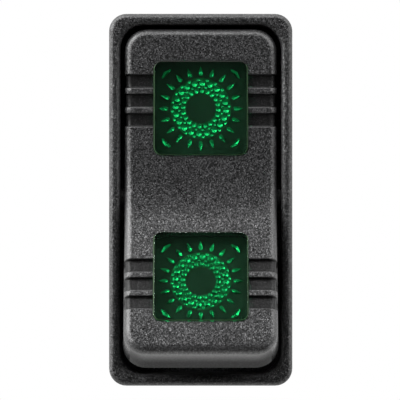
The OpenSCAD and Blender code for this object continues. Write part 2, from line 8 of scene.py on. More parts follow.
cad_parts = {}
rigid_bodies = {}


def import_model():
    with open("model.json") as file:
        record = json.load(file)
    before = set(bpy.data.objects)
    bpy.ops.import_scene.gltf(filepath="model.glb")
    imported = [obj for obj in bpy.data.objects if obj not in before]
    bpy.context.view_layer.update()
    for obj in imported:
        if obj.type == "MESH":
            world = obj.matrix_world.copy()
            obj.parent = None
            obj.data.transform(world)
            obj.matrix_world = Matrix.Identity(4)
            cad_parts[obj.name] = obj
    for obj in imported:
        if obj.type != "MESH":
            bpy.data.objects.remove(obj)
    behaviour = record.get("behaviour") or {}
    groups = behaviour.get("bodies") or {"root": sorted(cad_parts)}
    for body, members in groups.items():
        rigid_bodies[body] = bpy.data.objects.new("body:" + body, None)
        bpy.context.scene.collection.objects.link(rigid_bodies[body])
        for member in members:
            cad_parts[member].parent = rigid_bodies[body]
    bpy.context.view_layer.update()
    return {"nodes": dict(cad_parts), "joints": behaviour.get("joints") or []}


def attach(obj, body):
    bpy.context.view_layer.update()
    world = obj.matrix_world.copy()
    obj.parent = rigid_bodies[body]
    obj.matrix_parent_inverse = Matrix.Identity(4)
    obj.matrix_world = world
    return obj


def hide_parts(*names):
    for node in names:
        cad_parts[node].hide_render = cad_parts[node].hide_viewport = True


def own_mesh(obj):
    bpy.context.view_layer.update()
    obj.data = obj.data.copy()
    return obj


for leftOver in list(bpy.data.objects):
    bpy.data.objects.remove(leftOver)
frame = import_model()
nodes = frame["nodes"]
mm = 0.001
weldGap = 0.002 * mm   # points nearer than this become one
print("frame loaded:", len(nodes), "nodes")


def startFresh():
    if bpy.context.mode != "OBJECT":
        bpy.ops.object.mode_set(mode="OBJECT")
    bpy.ops.object.select_all(action="DESELECT")


def pickObject(obj):
    startFresh()
    obj.select_set(True)
    bpy.context.view_layer.objects.active = obj


def openForEdit(obj):
    pickObject(obj)
    bpy.ops.object.mode_set(mode="EDIT")
    bpy.ops.mesh.select_mode(type="VERT")
    bpy.ops.mesh.select_all(action="DESELECT")


def selectPoints(obj, wanted):
    # wanted gets a point's index and place
    bpy.ops.mesh.select_all(action="DESELECT")
    mesh = bmesh.from_edit_mesh(obj.data)
    mesh.verts.index_update()
    for v in mesh.verts:
        if wanted(v.index, v.co):
            v.select_set(True)
    mesh.select_flush(True)
    bmesh.update_edit_mesh(obj.data)


def movePoints(obj, wanted, shift):
    selectPoints(obj, wanted)
    bpy.ops.transform.translate(value=shift)


def applyPlace(obj):
    pickObject(obj)
    bpy.ops.object.transform_apply(location=True, rotation=True, scale=True)


def applyModifier(obj, kind, **settings):
    pickObject(obj)
    change = obj.modifiers.new(kind.lower(), kind)
    for key, value in settings.items():
        setattr(change, key, value)
    bpy.ops.object.modifier_apply(modifier=change.name)


def combine(obj, tool, how="DIFFERENCE"):
    applyModifier(obj, "BOOLEAN", operation=how, solver="EXACT", object=tool)
    bpy.data.objects.remove(tool)


def joinInto(obj, others):
    pickObject(obj)
    for other in others:
        other.select_set(True)
    bpy.ops.object.join()


def makeBlock(name, low, high):
    # block between two corners, in mm
    startFresh()
    middle = [(a + b) / 2 * mm for a, b in zip(low, high)]
    bpy.ops.mesh.primitive_cube_add(size=1, location=middle)
    obj = bpy.context.object
    obj.name = name
    obj.scale = [(b - a) * mm for a, b in zip(low, high)]
    applyPlace(obj)
    return obj


def makeRod(name, radius, lowX, highX, y, z, sides=40):
    startFresh()
    middle = ((lowX + highX) / 2 * mm, y * mm, z * mm)
    bpy.ops.mesh.primitive_cylinder_add(vertices=sides, radius=radius * mm, depth=(highX - lowX) * mm,
        location=middle, rotation=(0, math.pi / 2, 0))
    obj = bpy.context.object
    obj.name = name
    applyPlace(obj)
    return obj


def makeBar(name, points, halfX):
    # bar along x whose section is given as (y, z) points, in mm
    startFresh()
    bpy.ops.mesh.primitive_circle_add(vertices=len(points), radius=mm, fill_type="NGON")
    obj = bpy.context.object
    obj.name = name
    for vertex, (y, z) in zip(obj.data.vertices, points):
        vertex.co = (-halfX * mm, y * mm, z * mm)
    openForEdit(obj)
    bpy.ops.mesh.select_all(action="SELECT")
    bpy.ops.mesh.extrude_region_move(TRANSFORM_OT_translate={"value": (2 * halfX * mm, 0, 0)})
    bpy.ops.mesh.select_all(action="SELECT")
    bpy.ops.mesh.normals_make_consistent(inside=False)
    startFresh()
    return obj


def growShell(name, outlines, steps=8, closed=False):
    # outlines: (half width, half length, corner, y) in mm; each is extruded on to the next,
    # and a closed shell ends on its first outline
    halfW, halfL, corner, y = outlines[0]
    startFresh()
    bpy.ops.mesh.primitive_plane_add(size=2, location=(0, y * mm, 0), rotation=(math.pi / 2, 0, 0))
    obj = bpy.context.object
    obj.name = name
    obj.scale = (halfW * mm, halfL * mm, 1)
    applyPlace(obj)
    openForEdit(obj)
    bpy.ops.mesh.select_all(action="SELECT")
    bpy.ops.mesh.bevel(offset=corner * mm, segments=steps, affect="VERTICES")
    if closed:
        bpy.ops.mesh.select_all(action="SELECT")
        bpy.ops.mesh.delete(type="ONLY_FACE")
    ring = set(range(len(bmesh.from_edit_mesh(obj.data).verts)))
    for now, after in zip(outlines, outlines[1:]):
        selectPoints(obj, lambda i, co: i in ring)
        step = (0, (after[3] - now[3]) * mm, 0)
        bpy.ops.mesh.extrude_edges_move(TRANSFORM_OT_translate={"value": step})
        mesh = bmesh.from_edit_mesh(obj.data)
        mesh.verts.index_update()
        ring = set(v.index for v in mesh.verts if v.select)
        for sideX in (-1, 1):
            for sideZ in (-1, 1):
                selectPoints(obj, lambda i, co: i in ring and co.x * sideX > 0 and co.z * sideZ > 0)
                x, z = sideX * (now[0] - now[2]), sideZ * (now[1] - now[2])
                movedX, movedZ = sideX * (after[0] - after[2]), sideZ * (after[1] - after[2])
                share = after[2] / now[2]
                bpy.ops.transform.resize(value=(share, 1, share),
                    center_override=(x * mm, after[3] * mm, z * mm))
                bpy.ops.transform.translate(value=((movedX - x) * mm, 0, (movedZ - z) * mm))
    if closed:
        bpy.ops.mesh.select_all(action="SELECT")
        bpy.ops.mesh.remove_doubles(threshold=weldGap)
    else:
        selectPoints(obj, lambda i, co: i in ring)
        bpy.ops.mesh.edge_face_add()
    bpy.ops.mesh.select_all(action="SELECT")
    bpy.ops.mesh.normals_make_consistent(inside=False)
    startFresh()
    return obj


def roundedRim(halfW, halfL, corner, draft, radius, frontY, steps=6):
    # outlines from the flat front out over a rounded edge to the drafted side
    lean = math.radians(draft)
    inner = corner + radius * math.tan(lean) - radius / math.cos(lean)
    rows = []
    for i in range(steps + 1):
        turn = (math.pi / 2 - lean) * i / steps
        reach = inner + radius * math.sin(turn)
        rows.append((halfW - corner + reach, halfL - corner + reach, reach,
            frontY + radius * (1 - math.cos(turn))))
    return rows


def smoothShape(obj, sharpAngle=35):
    pickObject(obj)
    bpy.ops.object.shade_smooth_by_angle(angle=math.radians(sharpAngle))
    applyModifier(obj, "WEIGHTED_NORMAL", keep_sharp=True, weight=80)


def newFinish(name, colour, roughness, metallic=0.0):
    finish = bpy.data.materials.new(name)
    finish.use_nodes = True
    shader = finish.node_tree.nodes["Principled BSDF"]
    shader.inputs["Base Color"].default_value = (*colour, 1)
    shader.inputs["Roughness"].default_value = roughness
    shader.inputs["Metallic"].default_value = metallic
    return finish, finish.node_tree, shader


def addNode(tree, kind, **values):
    node = tree.nodes.new(kind)
    for key, value in values.items():
        if hasattr(node, key):
            setattr(node, key, value)
        else:
            node.inputs[key.replace("_", " ")].default_value = value
    return node


def noiseOf(tree, scale, detail=3.0, rough=0.55, stretch=(1, 1, 1)):
    place = addNode(tree, "ShaderNodeTexCoord")
    mapping = addNode(tree, "ShaderNodeMapping", Scale=stretch)
    noise = addNode(tree, "ShaderNodeTexNoise", Scale=scale, Detail=detail, Roughness=rough)
    tree.links.new(place.outputs["Object"], mapping.inputs["Vector"])
    tree.links.new(mapping.outputs["Vector"], noise.inputs["Vector"])
    return noise.outputs["Fac"]


def rampOf(tree, source, low, high, start=0.3, end=0.7):
    ramp = addNode(tree, "ShaderNodeValToRGB")
    ramp.color_ramp.elements[0].position = start
    ramp.color_ramp.elements[0].color = (*low, 1)
    ramp.color_ramp.elements[1].position = end
    ramp.color_ramp.elements[1].color = (*high, 1)
    tree.links.new(source, ramp.inputs["Fac"])
    return ramp.outputs["Color"]


def rangeOf(tree, source, low, high, start=0.3, end=0.7):
    spread = addNode(tree, "ShaderNodeMapRange")
    for key, value in (("From Min", start), ("From Max", end), ("To Min", low), ("To Max", high)):
        spread.inputs[key].default_value = value
    tree.links.new(source, spread.inputs["Value"])
    return spread.outputs["Result"]


def bumpOf(tree, source, strength, depth):
    bump = addNode(tree, "ShaderNodeBump", Strength=strength, Distance=depth * mm, Filter_Width=1.0)
    tree.links.new(source, bump.inputs["Height"])
    return bump.outputs["Normal"]


def anyRay(tree, *kinds):
    # 1 for rays of any of these kinds
    rays = addNode(tree, "ShaderNodeLightPath")
    found = rays.outputs[kinds[0]]
    for kind in kinds[1:]:
        either = addNode(tree, "ShaderNodeMath", operation="MAXIMUM")
        tree.links.new(found, either.inputs[0])
        tree.links.new(rays.outputs[kind], either.inputs[1])
        found = either.outputs[0]
    return found


nylonMake = {   # colour from darkest to brightest grain, partly painted glints, roughness, grains to the metre, their tilt, specular level
    "faceNylon": ((0.001, 0.001, 0.001), (0.085, 0.085, 0.0875), (0.26, 0.34), 8500, 0.24, 0.4),
    "rimNylon": ((0.001, 0.001, 0.001), (0.08, 0.08, 0.082), (0.32, 0.4), 8500, 0.36, 0.24),
    "edgeNylon": ((0.001, 0.001, 0.001), (0.06, 0.06, 0.062), (0.4, 0.46), 8500, 0.3, 0.5),
    "lipNylon": ((0.001, 0.001, 0.001), (0.08, 0.08, 0.082), (0.5, 0.58), 8500, 0.4, 0.5),
    "grooveNylon": ((0.001, 0.001, 0.001), (0.018, 0.018, 0.0185), (0.4, 0.48), 8500, 0.12, 0.16),
    "wallNylon": ((0.002, 0.002, 0.002), (0.014, 0.014, 0.0144), (0.22, 0.28), 5000, 0.06, 0.34),
    "skirtNylon": ((0.002, 0.002, 0.002), (0.015, 0.015, 0.0154), (0.3, 0.9), 5000, 0.06, 0.5),
}


def grainedNylon(name, low, high, roughness, scale, tilt, specular):
    # every grain has its own tone, partly a painted glint, and leans its own way
    finish, tree, shader = newFinish(name, low, roughness[0])
    place = addNode(tree, "ShaderNodeTexCoord")
    grain = addNode(tree, "ShaderNodeTexVoronoi", Scale=scale)
    tree.links.new(place.outputs["Object"], grain.inputs["Vector"])
    # cubing the grain's tone leaves a few bright grains: painted glints
    contrast = 3
    toneAndGlint = addNode(tree, "ShaderNodeMath", operation="POWER")
    toneAndGlint.inputs[1].default_value = contrast
    tree.links.new(grain.outputs["Color"], toneAndGlint.inputs[0])
    tree.links.new(rampOf(tree, toneAndGlint.outputs[0], low, high, 0, 1), shader.inputs["Base Color"])
    if name == "skirtNylon":   # polished by handling at the top, dull further down
        depth = addNode(tree, "ShaderNodeAttribute", attribute_name="depth")
        source, reach = depth.outputs["Fac"], (1.2 * mm, 4 * mm)
    else:
        source, reach = noiseOf(tree, scale=260), (0.3, 0.7)
    tree.links.new(rangeOf(tree, source, *roughness, *reach), shader.inputs["Roughness"])
    lean = addNode(tree, "ShaderNodeVectorMath", operation="MULTIPLY_ADD")
    lean.inputs[1].default_value = (tilt, tilt, tilt)
    surface = addNode(tree, "ShaderNodeNewGeometry")
    middle = addNode(tree, "ShaderNodeVectorMath", operation="SUBTRACT")
    middle.inputs[1].default_value = (0.5, 0.5, 0.5)
    tree.links.new(grain.outputs["Color"], middle.inputs[0])
    tree.links.new(middle.outputs[0], lean.inputs[0])
    tree.links.new(surface.outputs["Normal"], lean.inputs[2])
    evened = addNode(tree, "ShaderNodeVectorMath", operation="NORMALIZE")
    tree.links.new(lean.outputs[0], evened.inputs[0])
    tree.links.new(evened.outputs[0], shader.inputs["Normal"])
    shader.inputs["Specular IOR Level"].default_value = specular
    return finish


def mouldedPlastic(name, low, high, roughness, scale=1800, depth=0.01):
    finish, tree, shader = newFinish(name, low, roughness)
    cloud = noiseOf(tree, scale=420)
    grain = noiseOf(tree, scale, detail=2)
    tree.links.new(rampOf(tree, cloud, low, high), shader.inputs["Base Color"])
    tree.links.new(rangeOf(tree, grain, roughness - 0.05, roughness + 0.08), shader.inputs["Roughness"])
    tree.links.new(bumpOf(tree, grain, strength=0.35, depth=depth), shader.inputs["Normal"])
    return finish


def wornMetal(name, low, high, roughness, stretch=(1, 1, 12), scale=500, depth=0.006):
    # rolled or drawn metal: fine lines along one way, faint stains
    finish, tree, shader = newFinish(name, low, roughness, metallic=1.0)
    fineness = 5   # lines to each stain
    lines = noiseOf(tree, scale * fineness, rough=0.6, stretch=stretch[::-1])
    stains = noiseOf(tree, scale, detail=4)
    tree.links.new(rampOf(tree, stains, low, high, 0.35, 0.65), shader.inputs["Base Color"])
    tree.links.new(rangeOf(tree, lines, roughness - 0.08, roughness + 0.12), shader.inputs["Roughness"])
    tree.links.new(bumpOf(tree, lines, strength=0.3, depth=depth), shader.inputs["Normal"])
    return finish


nylons = {name: grainedNylon(name, *make) for name, make in nylonMake.items()}
# pivot pins, very dark and matte: painted shade of the side gaps they sit in
shadedPinNylon = mouldedPlastic("shadedPinNylon", (0.002, 0.002, 0.002), (0.004, 0.004, 0.004), 0.8)
tubeNylon = mouldedPlastic("tubeNylon", (0.008, 0.008, 0.0083), (0.014, 0.014, 0.0144),
    0.44, scale=4000, depth=0.008)
baseMoulding = mouldedPlastic("baseMoulding", (0.02, 0.02, 0.021), (0.03, 0.03, 0.031),
    0.42, scale=2400, depth=0.015)
innerNylon = mouldedPlastic("innerNylon", (0.62, 0.6, 0.54), (0.7, 0.68, 0.62), 0.4)
sealRubber = mouldedPlastic("sealRubber", (0.012, 0.012, 0.012), (0.02, 0.02, 0.02),
    0.75, scale=3000, depth=0.02)
terminalBrass = wornMetal("terminalBrass", (0.62, 0.46, 0.2), (0.74, 0.58, 0.29), 0.28)
contactCopper = wornMetal("contactCopper", (0.66, 0.31, 0.18), (0.78, 0.42, 0.27), 0.3)
contactSilver = wornMetal("contactSilver", (0.72, 0.71, 0.68), (0.84, 0.83, 0.8), 0.25)
tinnedWire = wornMetal("tinnedWire", (0.5, 0.5, 0.49), (0.62, 0.62, 0.6), 0.32)
springSteel = wornMetal("springSteel", (0.42, 0.42, 0.43), (0.55, 0.55, 0.56), 0.28)

lampClear, tree, shader = newFinish("lampClear", (0.9, 0.95, 0.9), 0.06)
ripples = noiseOf(tree, scale=900, detail=2)
smears = noiseOf(tree, scale=300, detail=2)
tree.links.new(bumpOf(tree, ripples, strength=0.15, depth=0.01), shader.inputs["Normal"])
tree.links.new(rangeOf(tree, smears, low=0.03, high=0.1), shader.inputs["Roughness"])
shader.inputs["Transmission Weight"].default_value = 0.9

lensLook = {   # colours and how fine their clouds are, roughness and how fine it is, other levels
    "lensClear": {"low": (0.24, 0.9, 0.48), "high": (0.32, 0.98, 0.58), "clouds": (90, 2),
        "rough": (0.02, 0.06), "wear": 600,
        "levels": {"Transmission Weight": 1.0, "IOR": 1.2, "Coat Weight": 0.2}},
    # the lens's rounded edge in opaque green: a painted bright line of light, in the lens's own green
    "lensRimGlow": {"low": (0.018, 0.042, 0.017), "high": (0.03, 0.062, 0.026), "clouds": (700, 2),
        "rough": (0.3, 0.4), "wear": 900, "levels": {"Specular IOR Level": 0.1}},
    "prismGreen": {"low": (0.004, 0.084, 0.037), "high": (0.008, 0.14, 0.062), "clouds": (260, 2),
        "rough": (0.22, 0.32), "wear": 500, "levels": {"Metallic": 1.0}},
    # painted glow of light scattered between the prisms, laid on a flat ring
    "lensHazeGlow": {"low": (0.004, 0.024, 0.011), "high": (0.006, 0.05, 0.021), "clouds": (700, 2),
        "rough": (0.5, 0.7), "wear": 900, "levels": {"Specular IOR Level": 0.04}},
    "lensShade": {"low": (0.009, 0.009, 0.0078), "high": (0.013, 0.0142, 0.012), "clouds": (240, 3),
        "rough": (0.5, 0.7), "wear": 900, "levels": {"Specular IOR Level": 0.04}},
}


def lensFinish(name, look):
    finish, tree, shader = newFinish(name, look["low"], look["rough"][0])
    clouds = noiseOf(tree, *look["clouds"])
    wear = noiseOf(tree, look["wear"], detail=2)
    tree.links.new(rampOf(tree, clouds, look["low"], look["high"]), shader.inputs["Base Color"])
    tree.links.new(rangeOf(tree, wear, *look["rough"]), shader.inputs["Roughness"])
    for socket, level in look["levels"].items():
        shader.inputs[socket].default_value = level
    return finish


lensFinishes = {name: lensFinish(name, look) for name, look in lensLook.items()}
nodeFinishes = {   # the solids that stay, by the start of their names; the first that fits is taken
    "panel_gasket": sealRubber, "base_seal": sealRubber, "terminal_base": baseMoulding,
    "plunger_carrier": nylons["wallNylon"], "plunger": innerNylon,
    "contact_blade": contactCopper, "moving_contact": contactSilver, "fixed_contact": contactSilver,
    "lamp_leads": tinnedWire, "lamp_": lampClear, "terminal_": terminalBrass,
}
for nodeName, node in nodes.items():
    for start, finish in nodeFinishes.items():
        if nodeName.startswith(start):
            node.data.materials.clear()
            node.data.materials.append(finish)
            break
print("materials made")


bezelMake = {
    "half": (12.17742, 24.72742), "height": 8.5, "corner": 2.3, "edge": 0.7, "draft": 1.5,
    "well": (10.7, 23.25, 3.1), "wellEdge": 0.7, "floor": 1.1,
    "tube": (10.4, 18.275, 2.4), "bore": (9.0, 16.875, 1.0), "depth": 27,
    "gasket": (11.62, 24.17, 1.52, 0.6),
    "lipSteps": 6, "lipFacing": (-0.97, -0.04),
    "cutReach": (12, 20),   # how far the cutters go across and along
    "arm": {"halfW": 4.5, "slot": 0.8, "top": 1.3, "root": 17},
    "ratchet": {"reach": 1.3, "steps": 3, "low": 6.4, "flat": 1, "runOut": 1, "sunk": 0.7},
    "window": {"z": 9, "y": 22.5, "w": 4.4, "h": 2.2},
    "pivotBore": {"y": -5.2, "radius": 1.5, "reach": 11.65},
}


def makeBezel(make):
    lean = math.tan(math.radians(make["draft"]))
    grow = make["height"] * lean
    halfW, halfL = make["half"]
    foot = (halfW + grow, halfL + grow, make["corner"] + grow, 0)
    rim = roundedRim(halfW, halfL, make["corner"], make["draft"], make["edge"], -make["height"])
    wellW, wellL, wellC = make["well"]
    edge = make["wellEdge"]
    lip = []
    for i in range(make["lipSteps"] + 1):
        turn = math.pi / 2 * i / make["lipSteps"]
        out = edge * (1 - math.sin(turn))
        y = edge * (1 - math.cos(turn)) - make["height"]
        lip.append((wellW + out, wellL + out, wellC + out, y))
    boreW, boreL, boreC = make["bore"]
    tubeW, tubeL, tubeC = make["tube"]
    gasketW, gasketL, gasketC, recess = make["gasket"]
    outlines = [foot] + rim[::-1] + lip + [
        (wellW, wellL, wellC, -make["floor"]), (boreW, boreL, boreC, -make["floor"]),
        (boreW, boreL, boreC, make["depth"]), (tubeW, tubeL, tubeC, make["depth"]),
        (tubeW, tubeL, tubeC, -recess), (gasketW, gasketL, gasketC, -recess),
        (gasketW, gasketL, gasketC, 0), foot]
    bezel = growShell("bezelMoulding", outlines, closed=True)
    arm = make["arm"]
    across, along = make["cutReach"]
    outer = arm["halfW"] + arm["slot"]
    for side in (-1, 1):   # slots beside both spring arms, then the one over their free ends
        x = sorted((side * arm["halfW"], side * outer))
        combine(bezel, makeBlock("slot", (x[0], arm["top"], -along), (x[1], arm["root"], along)))
    top = arm["top"] + arm["slot"]
    combine(bezel, makeBlock("slot", (-outer, arm["top"], -along), (outer, top, along)))
    window = make["window"]
    halfY, halfZ = window["h"] / 2, window["w"] / 2
    for end in (-1, 1):
        y, z = window["y"], end * window["z"]
        combine(bezel, makeBlock("window", (-across, y - halfY, z - halfZ), (across, y + halfY, z + halfZ)))
    pivot = make["pivotBore"]
    combine(bezel, makeRod("bore", pivot["radius"], -pivot["reach"], pivot["reach"], pivot["y"], 0))
    ratchet = make["ratchet"]
    low, reach = ratchet["low"], ratchet["reach"]
    last = arm["root"] - ratchet["runOut"]
    stepY = (low - top) / ratchet["steps"]
    stepZ = reach / (ratchet["steps"] + 1)
    flank = [(top, -ratchet["sunk"])]
    for i in range(ratchet["steps"]):
        flank += [(top + i * stepY, (i + 1) * stepZ), (top + (i + 1) * stepY, (i + 1) * stepZ)]
    flank += [(low, reach), (low + ratchet["flat"], reach), (last, 0), (last, -ratchet["sunk"])]
    for end in (-1, 1):
        teeth = makeBar("teeth", [(y, end * (make["tube"][1] + z)) for y, z in flank], arm["halfW"])
        combine(bezel, teeth, "UNION")
    smoothShape(bezel)
    for finish in (nylons["rimNylon"], nylons["lipNylon"], tubeNylon):
        bezel.data.materials.append(finish)
    flattest, steepest = make["lipFacing"]
    for face in bezel.data.polygons:
        middle, way = face.center, face.normal
        outward = way.x * middle.x + way.z * middle.z > 0
        onRounding = middle.y < (make["edge"] - make["height"]) * mm and flattest < way.y < steepest
        if outward and onRounding:
            face.material_index = 1
        elif middle.y > 0:
            face.material_index = 2
    return bezel


bezel = makeBezel(bezelMake)
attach(bezel, "housing")
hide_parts("bezel_frame")
print("bezel made:", len(bezel.data.polygons), "faces")


capMake = {
    "half": (10.07, 21.9776), "corner": 2.9, "edge": 1.1, "draft": 2, "depth": 5.9,
    "skin": 1.3, "roof": 1.6, "innerCorner": 0.8,
    "valleyHalf": 3.3598, "valleySlices": 10, "valleyFloor": 3.6893, "halfAngle": 11,
    "lensAt": 11.508, "well": (7.3, 5.0), "pocket": (6.3, 1.1, 2.35), "window": (5.3, 1.05),
    "past": 1, "overlap": 0.5,   # cutters go past the wall, and a block that is joined goes into it
    "groove": {"count": 3, "width": 1.7, "pitch": 2.58, "shift": 1, "depth": 0.5, "endRadius": 0.8,
        "inset": 0.12, "skirt": 3.2, "skirtStep": 0.08, "skirtNear": 0.05, "wall": 0.12,
        "soften": 0.16, "sharp": 30, "spare": 0.02},
    "endFacing": 0.7, "edgeReach": 0.99, "edgeFacing": (-0.99, -0.1),   # where finishes change
    "pin": {"radius": 1.45, "from": 9.42, "to": 11.6, "y": -5.2},
}
near, hair = 0.01, 0.003   # mm, how close counts as on a plane and as on a cut
pivotAt = Vector(next(joint for joint in frame["joints"] if joint["name"] == "rocker_pivot")["pos_m"])


def turnToRest():
    # the cap at rest has its upper end pressed
    return Matrix.Translation(pivotAt) @ Matrix.Rotation(math.radians(-capMake["halfAngle"]), 4, "X")


def cutGroove(cap, make, centre):
    # lower the face between the groove's walls, and take both ends in from the cap's sides
    groove = make["groove"]
    lean = math.radians(make["draft"])
    halfX, edge, endRadius = make["half"][0], make["edge"], groove["endRadius"]
    halfBand = groove["width"] / 2 - groove["wall"] / 3
    flatX = halfX + edge * math.tan(lean) - edge / math.cos(lean)
    skirtX = halfX + groove["skirt"] * math.tan(lean)
    endX = halfX - groove["inset"]
    share = endRadius / edge
    for side in (-1, 1):
        inBand = lambda co: abs(co.z - centre * mm) < halfBand * mm
        onFlat = lambda i, co: (inBand(co) and abs(co.y) < near * mm
            and (make["pocket"][0] - near) * mm < co.x * side < (flatX - near) * mm)
        onRounding = lambda i, co: (inBand(co) and co.y < edge * mm
            and co.x * side > (flatX - near) * mm)
        onSkirt = lambda i, co: (inBand(co) and abs(co.y - groove["skirt"] * mm) < near * mm
            and co.x * side > (skirtX - groove["skirtNear"]) * mm)
        movePoints(cap, onFlat, (0, groove["depth"] * mm, 0))
        selectPoints(cap, onRounding)
        bpy.ops.transform.resize(value=(share, share, 1),
            center_override=(side * flatX * mm, edge * mm, centre * mm))
        bpy.ops.transform.translate(value=(side * (endX - endRadius - flatX) * mm,
            (groove["depth"] + endRadius - edge) * mm, 0))
        movePoints(cap, onSkirt, (side * (endX - skirtX) * mm, 0, 0))


def softenRidges(cap, make, lines):
    # round the long edges of the ridges between and beside the grooves
    groove, pocket = make["groove"], make["pocket"][0]
    level = 0.001 * mm
    mesh = bmesh.from_edit_mesh(cap.data)
    bpy.ops.mesh.select_mode(type="EDGE")
    bpy.ops.mesh.select_all(action="DESELECT")
    for e in mesh.edges:
        a, b = e.verts[0].co, e.verts[1].co
        along = abs(a.z - b.z) < level and any(abs(a.z - z * mm) < hair * mm for z in lines)
        outside = min(abs(a.x), abs(b.x)) > (pocket - near) * mm
        shallow = max(a.y, b.y) < (groove["skirt"] + near) * mm
        onPocket = abs(a.x - b.x) < level and abs(a.x) < (pocket + near) * mm
        sharp = e.is_manifold and e.calc_face_angle(0) > math.radians(groove["sharp"])
        if along and outside and shallow and sharp and not onPocket:
            e.select_set(True)
    bmesh.update_edit_mesh(cap.data)
    bpy.ops.mesh.bevel(offset=groove["soften"] * mm, segments=3, affect="EDGES", clamp_overlap=True)
    bpy.ops.mesh.select_mode(type="VERT")


def finishCap(cap, make, centres):
    # grain on the face and its rounded edge, smooth walls and groove floors
    groove = make["groove"]
    halfBand = groove["width"] / 2 + groove["spare"]
    flattest, steepest = make["edgeFacing"]
    finishes = ("faceNylon", "edgeNylon", "wallNylon", "skirtNylon", "grooveNylon")
    for finish in finishes:
        cap.data.materials.append(nylons[finish])
    for face in cap.data.polygons:
        spot, way = face.center / mm, face.normal
        inGroove = spot.y > groove["wall"] and any(abs(spot.z - c) < halfBand for c in centres)
        under = spot.y > make["edge"]
        finish = "faceNylon"
        if under and abs(way.z) > make["endFacing"] and not inGroove:
            finish = "skirtNylon"
        elif inGroove:
            finish = "grooveNylon"
        elif under:
            finish = "wallNylon"
        elif spot.y < make["edgeReach"] and flattest < way.y < steepest:
            finish = "edgeNylon"
        face.material_index = finishes.index(finish)
    depth = cap.data.attributes.new("depth", "FLOAT", "POINT")
    for v in cap.data.vertices:
        depth.data[v.index].value = v.co.y


def makeCap(make):
    halfW, halfL = make["half"]
    groove = make["groove"]
    lean = math.tan(math.radians(make["draft"]))
    rows = roundedRim(halfW, halfL, make["corner"], make["draft"], make["edge"], frontY=0)
    for depth in (groove["skirt"], groove["skirt"] + groove["skirtStep"], make["depth"]):
        grow = depth * lean
        rows.append((halfW + grow, halfL + grow, make["corner"] + grow, depth))
    inner = (halfW - make["skin"], halfL - make["skin"], make["innerCorner"])
    rows += [(*inner, make["depth"]), (*inner, make["roof"])]
    cap = growShell("rockerCapSkin", rows)
    reach, deep = make["well"]
    pocket, pocketCorner, pocketDeep = make["pocket"]
    window, windowCorner = make["window"]
    top = make["roof"] - make["overlap"]
    for end in (-1, 1):
        z = end * make["lensAt"]
        combine(cap, makeBlock("lightWell", (-reach, top, z - reach), (reach, deep, z + reach)), "UNION")
        cutter = growShell("pocket", [
            (pocket, pocket, pocketCorner, -make["past"]), (pocket, pocket, pocketCorner, pocketDeep),
            (window, window, windowCorner, pocketDeep),
            (window, window, windowCorner, deep + make["past"])], steps=6)
        cutter.location.z = z * mm
        applyPlace(cutter)
        combine(cap, cutter)
    steps = [(i - (groove["count"] - 1) / 2) * groove["pitch"] for i in range(groove["count"])]
    centres = [end * (make["lensAt"] + groove["shift"] + step) for end in (-1, 1) for step in steps]
    halfWidth, halfWall = groove["width"] / 2, groove["wall"] / 2
    lines = [c + s * halfWidth + t * halfWall for c in centres for s in (-1, 1) for t in (-1, 1)]
    slices = make["valleySlices"]
    openForEdit(cap)
    for z in lines + [make["valleyHalf"] * (2 * i / slices - 1) for i in range(slices + 1)]:
        bpy.ops.mesh.select_all(action="SELECT")
        bpy.ops.mesh.bisect(plane_co=(0, 0, z * mm), plane_no=(0, 0, 1))
    for centre in centres:
        cutGroove(cap, make, centre)
    softenRidges(cap, make, lines)
    bpy.ops.mesh.select_all(action="SELECT")
    bpy.ops.mesh.normals_make_consistent(inside=False)
    startFresh()
    finishCap(cap, make, centres)
    farthest = max(abs(v.co.z) for v in cap.data.vertices)
    share = make["valleyHalf"] * mm / (2 * farthest)
    applyModifier(cap, "SIMPLE_DEFORM", deform_method="BEND", deform_axis="X",
        angle=math.radians(-2 * make["halfAngle"]), limits=(0.5 - share, 0.5 + share))
    return cap


cap = makeCap(capMake)
cap.location = (0, -capMake["valleyFloor"] * mm, 0)
applyPlace(cap)
cap.matrix_world = turnToRest()
applyPlace(cap)
pinMake = capMake["pin"]
pins = []
for side in (-1, 1):
    ends = sorted((side * pinMake["from"], side * pinMake["to"]))
    pins.append(makeRod("pin", pinMake["radius"], *ends, pinMake["y"], 0))
    pins[-1].data.materials.append(shadedPinNylon)
joinInto(cap, pins)
smoothShape(cap)
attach(cap, "rocker")
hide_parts("rocker_cap")
print("cap made:", len(cap.data.polygons), "faces")


lensMake = {
    "half": 6.25, "corner": 1.05, "edge": 0.18, "front": -0.25, "back": 2.35, "u": 11.55,
    # rim faces leaning up more than this get painted shade
    "vertex": 3.36177, "rimFacing": (-0.97, -0.2), "shadedTopFacing": 0.3,
    "plate": 2.28, "play": 0.03, "skim": 0.01,   # the painted glow ring and the prisms stand just off the plate
    "hazeGlow": (4.06, 1.98),
    # petals, corner leaves and two double rings of dots:
    # outline, count, turn, middle, length, width, rise
    "pits": (
        ("petal", 20, 0, 4.97, 1.3, 0.54, 0.13), ("petal", 4, 45, 6.6, 0.6, 1.7, 0.12),
        ("dot", 20, 4, 3.36, 0.8, 0.76, 0.15), ("dot", 20, 4, 2.36, 0.66, 0.56, 0.12),
        ("dot", 20, 13, 3.8, 0.4, 0.44, 0.08), ("dot", 20, 13, 2.86, 0.34, 0.36, 0.07),
    ),
    "outlines": {
        "petal": ((0, 0), (0.38, 0.1), (0.5, 0.3), (0.4, 0.56),
            (0, 1), (-0.4, 0.56), (-0.5, 0.3), (-0.38, 0.1)),
        "dot": ((0, 0), (0.36, 0.14), (0.5, 0.5), (0.4, 0.86),
            (0, 1), (-0.4, 0.86), (-0.5, 0.5), (-0.36, 0.14)),
    },
}


